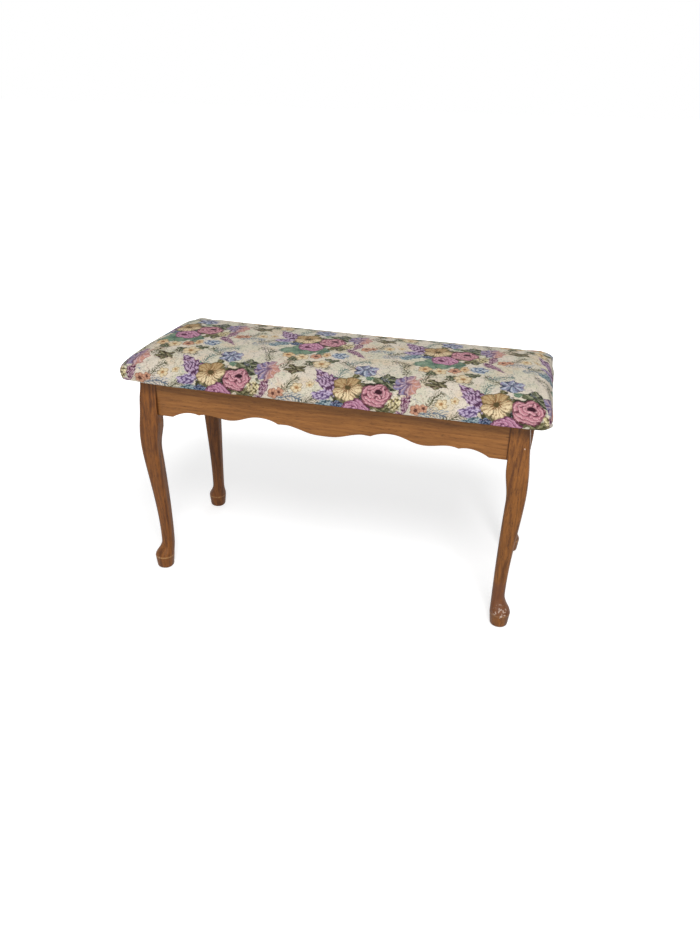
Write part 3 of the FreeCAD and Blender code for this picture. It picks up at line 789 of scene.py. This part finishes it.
def padRings():
    low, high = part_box("seat_cover")
    boardLow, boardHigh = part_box("seat_board")
    halfLength, halfDepth = high.x, high.y
    line = smoothLine(seatPad["section"], 20)[::-1]  # from the crown down
    z = low.z + line[:, 0] * (high.z - low.z)
    drawn = np.maximum(line[:, 1], 0) * halfDepth
    endDrawn = drawn * seatPad["endDraw"]
    # lengths along the cloth, down the front and down the ends
    down, downEnd = [np.append(0, np.cumsum(np.hypot(np.diff(run), np.diff(z)))) for run in (drawn, endDrawn)]
    flatDepth, flatLength = halfDepth - drawn[0], halfLength - endDrawn[0]
    count = round(down[-1] / seatPad["ringStep"])
    rings = []

    def ring(length, depth, radius, level, overDepth, overLength):
        rings.append({"length": length, "depth": depth, "radius": radius, "z": level,
                      "overDepth": overDepth - depth, "overLength": overLength - length})

    # the cavity round the board, then the hem, from the inside out
    clear, corner = seatPad["clear"], seatPad["corner"]
    boardLength, boardDepth = boardHigh.x + clear, boardHigh.y + clear
    fullDepth, fullLength = flatDepth + down[-1], flatLength + downEnd[-1]
    ease, tuck, hem = seatPad["clearEase"], seatPad["tuck"], seatPad["hem"]
    for level in (boardHigh.z + clear, boardHigh.z - ease, boardLow.z + ease, boardLow.z):
        ring(boardLength, boardDepth, seatPad["clearCorner"], level, fullDepth + tuck, fullLength + tuck)
    for level in (boardLow.z, low.z):
        ring(halfLength - hem, halfDepth - hem, corner, level, fullDepth + hem, fullLength + hem)
    for inset in seatPad["hemRings"]:
        ring(halfLength - inset, halfDepth - inset, corner - 1 * mm, low.z,
             fullDepth + inset, fullLength + inset)
    lowest = len(rings)
    for step in range(count + 1):
        at = down[-1] * (1 - step / count)
        drawnHere, atEnd, level = [np.interp(at, down, run) for run in (drawn, downEnd, z)]
        ring(halfLength - drawnHere * seatPad["endDraw"], halfDepth - drawnHere,
             corner + seatPad["cornerGrowth"] * drawnHere, level, flatDepth + at, flatLength + atEnd)
    gap = flatDepth / (seatPad["topRings"] + 0.5)
    topRadius = rings[-1]["radius"]
    for step in range(1, seatPad["topRings"] + 1):
        length, depth = flatLength - gap * step, flatDepth - gap * step
        ring(length, depth, min(max(topRadius - gap * step, 1 * mm), depth), high.z, depth, length)
    return rings, lowest


def padLines(rings, key):
    sizes = [ring[key] for ring in rings]
    widest = int(np.argmax(sizes))
    for index in range(widest - 1, -1, -1):
        sizes[index] = sizes[index + 1] + seatPad["lineGap"]
    return sizes


def padMesh():
    rings, lowest = padRings()
    total = len(rings)
    xs, ys = padLines(rings, "length"), padLines(rings, "depth")
    between = 2 * round(rings[-1]["length"] / seatPad["ringStep"]) - 1
    columns = [-x for x in xs] + list(np.linspace(-xs[-1], xs[-1], between + 2)[1:-1]) + xs[::-1]
    rows = [-y for y in ys] + ys[::-1]
    wide, tall = len(columns), len(rows)
    points, over = [], []
    for j, y in enumerate(rows):
        for i, x in enumerate(columns):
            fromEnd, fromFront = min(i, wide - 1 - i), min(j, tall - 1 - j)
            index = min(fromEnd, fromFront)
            ring = rings[index]
            px, py = abs(x) * ring["length"] / xs[index], abs(y) * ring["depth"] / ys[index]
            radius = ring["radius"]
            cx, cy = ring["length"] - radius, ring["depth"] - radius
            if fromFront <= fromEnd and px > cx:
                turn = (px - cx) / radius * math.pi / 4
                px, py = cx + radius * math.sin(turn), cy + radius * math.cos(turn)
            elif fromEnd < fromFront and py > cy:
                turn = (py - cy) / radius * math.pi / 4
                px, py = cx + radius * math.cos(turn), cy + radius * math.sin(turn)
            points.append((math.copysign(px, x), math.copysign(py, y), ring["z"]))
            over.append((ring["overLength"], ring["overDepth"]))
    faces, zones = [], []
    for j in range(tall - 1):
        for i in range(wide - 1):
            a = j * wide + i
            b, c, d = a + 1, a + wide + 1, a + wide
            fromEnd, fromFront = min(i, wide - 2 - i), min(j, tall - 2 - j)
            if fromEnd != fromFront or fromEnd >= total:
                faces.append((a, b, c, d))
                zones.append("end" if fromEnd < fromFront else "front")
                continue
            rising = (i < wide / 2) == (j < tall / 2)  # which diagonal the corner crease follows
            pair = ((a, b, c), (a, c, d)) if rising else ((a, b, d), (b, c, d))
            frontFirst = j < tall / 2
            for index, triangle in enumerate(pair):
                faces.append(triangle)
                zones.append("front" if (index == 0) == frontFirst else "end")
    mesh = bpy.data.meshes.new("tapestry-seat")
    mesh.from_pydata(points, [], faces)
    layer = mesh.uv_layers.new(name="weave")
    for polygon, zone in zip(mesh.polygons, zones):
        for loop in polygon.loop_indices:
            vertex = mesh.loops[loop].vertex_index
            x, y = points[vertex][:2]
            overLength, overDepth = over[vertex]
            if zone == "front":
                y += math.copysign(overDepth, y)
            else:
                x += math.copysign(overLength, x)
            layer.data[loop].uv = (x, y)
    held = [index for index in range(len(points))
            if min(index % wide, wide - 1 - index % wide, index // wide, tall - 1 - index // wide) <= lowest]
    return mesh, held


def blowUp(piece, held):
    group = piece.vertex_groups.new(name="held")
    group.add(held, 1.0, "REPLACE")
    cloth = piece.modifiers.new("cover", "CLOTH")
    for name, value in seatPad["fabric"].items():
        setattr(cloth.settings, name, value)
    cloth.settings.use_pressure = True
    cloth.settings.uniform_pressure_force = seatPad["pressure"]
    cloth.settings.vertex_group_mass = group.name
    cloth.settings.effector_weights.gravity = 0
    cloth.point_cache.frame_start, cloth.point_cache.frame_end = 1, seatPad["frames"]
    scene = bpy.context.scene
    for moment in range(1, seatPad["frames"] + 1):
        scene.frame_set(moment)
    blown = piece.evaluated_get(bpy.context.evaluated_depsgraph_get()).data
    start = readPlaces(piece.data)
    move = readPlaces(blown) - start
    length = np.linalg.norm(move, axis=1)
    print("cloth moved up to", round(float(length.max()) * 1000, 1), "mm")
    limit = seatPad["mostMove"]
    move *= (np.minimum(length, limit) / np.maximum(length, 1e-9))[:, None]
    piece.modifiers.remove(cloth)
    piece.vertex_groups.remove(group)
    scene.frame_set(1)
    writePlaces(piece.data, start + move)


def hump(value, middle, spread):
    return np.exp(-((value - middle) / spread) ** 2)


def settleCover(piece):
    low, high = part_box("seat_cover")
    co, normal = readPlaces(piece.data), readPlaces(piece.data, "normal")
    x, y, z = co.T
    rise = (z - low.z) / (high.z - low.z)
    along = np.where(np.abs(y) / high.y > np.abs(x) / high.x, x, y)
    gather = np.sin(math.tau * along / seatPad["puckerStep"] + 1.3 * np.sin(along * 31))
    pull = hump(rise, *seatPad["puckerLevel"]) * seatPad["pucker"] * gather
    soft = seatPad["soft"] * np.sin(x * 23 + 1.1) * np.sin(y * 31 + 0.4) * rise
    near = hump(np.abs(x), high.x, seatPad["liftReach"]) * hump(y, -high.y, seatPad["liftReach"])
    lift = np.where(x < 0, *seatPad["cornerLift"]) * near * np.clip(1 - rise / seatPad["liftTop"], 0, 1)
    start = seatPad["bulgeFrom"]
    toEnd = np.clip((np.abs(x) / high.x - start) / (1 - start), 0, 1) ** 2
    start, full = seatPad["backDrawFrom"]
    toBack = (x > 0) * np.clip((y - start) / (full - start), 0, 1)
    bulge = np.where(x < 0, *seatPad["endBulge"]) - seatPad["backDraw"] * toBack
    bulge *= hump(rise, *seatPad["bulgeLevel"])
    atCorner = (x > 0) * hump(y, -high.y, seatPad["pushReach"]) * hump(rise, *seatPad["pushLevel"])
    bulge += seatPad["cornerPush"] * atCorner
    co = co + normal * (pull + soft)[:, None]
    co[:, 0] += np.sign(x) * np.where(rise > seatPad["flatHem"], bulge * toEnd, 0)
    co[:, 2] += lift
    writePlaces(piece.data, co)


def subdivideOnce(piece):
    smooth = piece.modifiers.new("smooth", "SUBSURF")
    smooth.levels = smooth.render_levels = 1
    smooth.uv_smooth = "NONE"
    selectOnly(piece)
    bpy.ops.object.modifier_apply(modifier=smooth.name)
    setMode("EDIT")
    bpy.ops.mesh.select_all(action="DESELECT")
    bpy.ops.mesh.select_mode(type="EDGE")
    bpy.ops.mesh.select_non_manifold()
    bpy.ops.mesh.fill(use_beauty=False)  # the lid that lies on the board
    setMode("OBJECT")
    bpy.ops.object.shade_smooth()


def makeSeat():
    mesh, held = padMesh()
    piece = addObject("tapestry-seat", mesh)
    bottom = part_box("seat_cover")[0].z + seatPad["packedFrom"]
    for vertex in mesh.vertices:
        if vertex.co.z > bottom:
            vertex.co.z = bottom + (vertex.co.z - bottom) * seatPad["packed"]
    blowUp(piece, held)
    settleCover(piece)
    subdivideOnce(piece)
    mesh.materials.append(tapestryMaterial())
    mountPiece(piece, "tapestry", "seat_cover", "seat_wadding", "seat_foam")


makeSeat()
print("seat padded and covered")


# Underside

dustCloth = {
    "cells": (72, 30),
    "corner": 13 * mm,
    "sag": 4 * mm,
    "thick": 0.4 * mm,
    "flat": (0.7204, 0.3014),  # m, as cut
    "dark": (24, 24, 26),
    "light": (46, 46, 49),
    "bump": 0.10 * mm,
}
staple = {
    "crown": 9.5 * mm,
    "wire": (1.2 * mm, 0.6 * mm),
    "leg": 5 * mm,
    "eased": 0.14 * mm,
    "askew": 4,  # degrees at most
    "freeEnds": 40 * mm,  # of a row, both together
    # in from the edge, and from staple to staple
    "rows": {"seat_cover": (14 * mm, 38 * mm), "dust_cover": (3.2 * mm, 62 * mm)},
}


def dustClothMaterial():
    material, board = newMaterial("black dust cloth")
    spot = board.spot()
    dark, light = shades(dustCloth, "dark", "light")
    strands = board.noise(board.shake(spot, 0.4, 3.0), 1.6, 5.0, 0.7)
    colour = board.lay(dark, light, strands, 0.38, 0.66)
    roughness = board.times(strands, 0.12, 0.80)
    closeMaterial(board, colour, roughness, strands, dustCloth["bump"], {"Specular IOR Level": 0.2})
    return material


def makeDustCloth():
    low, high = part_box("dust_cover")
    innerX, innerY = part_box("left_apron")[1].x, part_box("front_apron")[1].y  # the aprons' inner faces
    bpy.ops.object.select_all(action="DESELECT")
    across, deep = dustCloth["cells"]
    bpy.ops.mesh.primitive_grid_add(x_subdivisions=across, y_subdivisions=deep, size=1)
    cloth = bpy.context.object
    cloth.name = "dust-cloth"
    mesh = cloth.data
    co = readPlaces(mesh) * (high.x - low.x, high.y - low.y, 0)
    corner = dustCloth["corner"]
    past = np.maximum(np.abs(co[:, :2]) - (high.x - corner, high.y - corner), 0)
    turned = past.min(axis=1) > 0
    shrink = past[turned].max(axis=1) / np.linalg.norm(past[turned], axis=1)
    co[turned, :2] -= np.sign(co[turned, :2]) * past[turned] * (1 - shrink)[:, None]
    free = np.clip(1 - (co[:, 0] / innerX) ** 2, 0, 1) * np.clip(1 - (co[:, 1] / innerY) ** 2, 0, 1)
    co[:, 2] = (low.z + high.z) / 2 - dustCloth["sag"] * free ** 2
    writePlaces(mesh, co)
    thick = cloth.modifiers.new("thickness", "SOLIDIFY")
    thick.thickness = dustCloth["thick"]
    thick.offset = 0
    bpy.ops.object.modifier_apply(modifier=thick.name)
    bpy.ops.object.shade_smooth_by_angle(angle=math.radians(40))
    mesh.materials.append(dustClothMaterial())
    mountPiece(cloth, "dust_cloth", "dust_cover")


def stapleMesh():
    bpy.ops.object.select_all(action="DESELECT")
    bpy.ops.mesh.primitive_cube_add(size=1)
    piece = bpy.context.object
    wide, high = staple["wire"]
    setMode("EDIT")
    bpy.ops.transform.resize(value=(staple["crown"], wide, high))
    for side in (-1, 1):
        bpy.ops.mesh.select_all(action="SELECT")
        bpy.ops.mesh.bisect(plane_co=(side * (staple["crown"] / 2 - high), 0, 0), plane_no=(1, 0, 0))
    setMode("OBJECT")
    for polygon in piece.data.polygons:
        polygon.select = polygon.normal.z > 0.9 and abs(polygon.center.x) > staple["crown"] / 2 - high
    setMode("EDIT")
    bpy.ops.mesh.select_mode(type="FACE")
    bpy.ops.mesh.extrude_region_move(TRANSFORM_OT_translate={"value": (0, 0, staple["leg"])})
    bpy.ops.mesh.select_all(action="SELECT")
    bpy.ops.mesh.bevel(offset=staple["eased"], segments=1)
    setMode("OBJECT")
    return piece


def stapleRow(halfLength, halfDepth, step, level):
    places = []
    for half, along in ((halfDepth, halfLength), (halfLength, halfDepth)):
        count = int((2 * along - staple["freeEnds"]) // step)
        for index in range(count + 1):
            run = (index - count / 2) * step
            turn = staple["askew"] * math.sin(7.0 * index + 90 * half)  # askew, as set by hand
            for side in (-1, 1):
                spot = (run, side * half, level) if half == halfDepth else (side * half, run, level)
                places.append((spot, turn + (0 if half == halfDepth else 90)))
    return places


def makeStaples():
    first = stapleMesh()
    places = []
    for node, (inset, step) in staple["rows"].items():
        low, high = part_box(node)
        places += stapleRow(high.x - inset, high.y - inset, step, low.z - staple["wire"][1] / 2)
    bpy.ops.object.select_all(action="DESELECT")
    for spot, turn in places:
        copy = addObject("staple", first.data.copy())
        copy.data.transform(Matrix.Translation(spot) @ Matrix.Rotation(math.radians(turn), 4, "Z"))
        copy.select_set(True)
        bpy.context.view_layer.objects.active = copy
    bpy.data.objects.remove(first)
    bpy.ops.object.join()
    piece = bpy.context.object
    piece.name = "staples"
    piece.data.materials.append(zinc)
    mountPiece(piece, "zinc_steel")


makeDustCloth()
makeStaples()
print("dust cloth and staples set")


# Camera, floor and light

view = {
    "place": (0.35097, -1.33131, 0.90723),
    "yaw": 14.23,
    "pitch": 26.669,
    "roll": 1.324,
    "lens": 29.38,  # mm
    "film": 36,  # mm
}
studio = {
    "sky": 0.30,
    "lampSize": 1.3,  # m
    # place in m and power in W
    "lamps": {"key": ((0.8, -2.1, 2.8), 92), "fill": ((0.1, -2.4, 0.7), 6), "back": ((-0.5, 2.6, 0.9), 14)},
    "target": (0, 0, 0.35),
    "floor": 0.55,
    "floorSize": 60,  # m
    "glow": (0.64, 0.45),  # of the floor near the bench, and what it gains far away
    "glowFade": (0.5, 1.4),  # m from the bench
}


def makeCamera():
    camera = addObject("camera", bpy.data.cameras.new("camera"))
    camera.data.lens = view["lens"]
    camera.data.sensor_width = view["film"]
    turn = Matrix.Rotation(math.radians(view["yaw"]), 4, "Z")
    turn @= Matrix.Rotation(math.radians(90 - view["pitch"]), 4, "X")
    turn @= Matrix.Rotation(math.radians(view["roll"]), 4, "Z")
    camera.matrix_world = Matrix.Translation(view["place"]) @ turn
    bpy.context.scene.camera = camera


def seenDirectly(board):
    path = board.add("ShaderNodeLightPath").outputs
    shiny = board.math("MAXIMUM", path["Is Glossy Ray"], path["Is Transmission Ray"])
    return board.math("MAXIMUM", path["Is Camera Ray"], shiny)


def makeSky():
    world = bpy.data.worlds.new("studio")
    bpy.context.scene.world = world
    world.use_nodes = True
    world.node_tree.nodes.clear()
    board = NodeBoard(world.node_tree)
    strength = board.times(seenDirectly(board), 1 - studio["sky"], studio["sky"])
    sky = board.add("ShaderNodeBackground", {"Color": (1, 1, 1, 1), "Strength": strength})
    board.add("ShaderNodeOutputWorld", {"Surface": sky.outputs[0]})


def makeFloor():
    bpy.ops.object.select_all(action="DESELECT")
    bpy.ops.mesh.primitive_plane_add(size=studio["floorSize"])
    floor = bpy.context.object
    floor.name = "floor"
    material, board = newMaterial("pale floor")
    spot = board.add("ShaderNodeTexCoord").outputs["Object"]
    away = board.smooth(board.vector("LENGTH", spot), *studio["glowFade"])
    glow, more = studio["glow"]
    glow = board.times(seenDirectly(board), board.times(away, more, glow))
    paint = board.add("ShaderNodeBsdfDiffuse", {"Color": (studio["floor"],) * 3 + (1,)})
    light = board.add("ShaderNodeEmission", {"Color": (1, 1, 1, 1), "Strength": glow})
    both = board.add("ShaderNodeAddShader", {0: paint.outputs[0], 1: light.outputs[0]})
    board.add("ShaderNodeOutputMaterial", {"Surface": both.outputs[0]})
    floor.data.materials.append(material)


def makeLamps():
    target = Vector(studio["target"])
    for name, (place, power) in studio["lamps"].items():
        lamp = bpy.data.lights.new(name, "AREA")
        lamp.shape = "DISK"
        lamp.size = studio["lampSize"]
        lamp.energy = power
        holder = addObject(name, lamp)
        holder.location = place
        holder.visible_camera = False
        holder.rotation_euler = (target - holder.location).to_track_quat("-Z", "Y").to_euler()


makeCamera()
makeSky()
makeFloor()
makeLamps()
bpy.context.scene.view_settings.view_transform = "Standard"
print("camera, floor and light set")
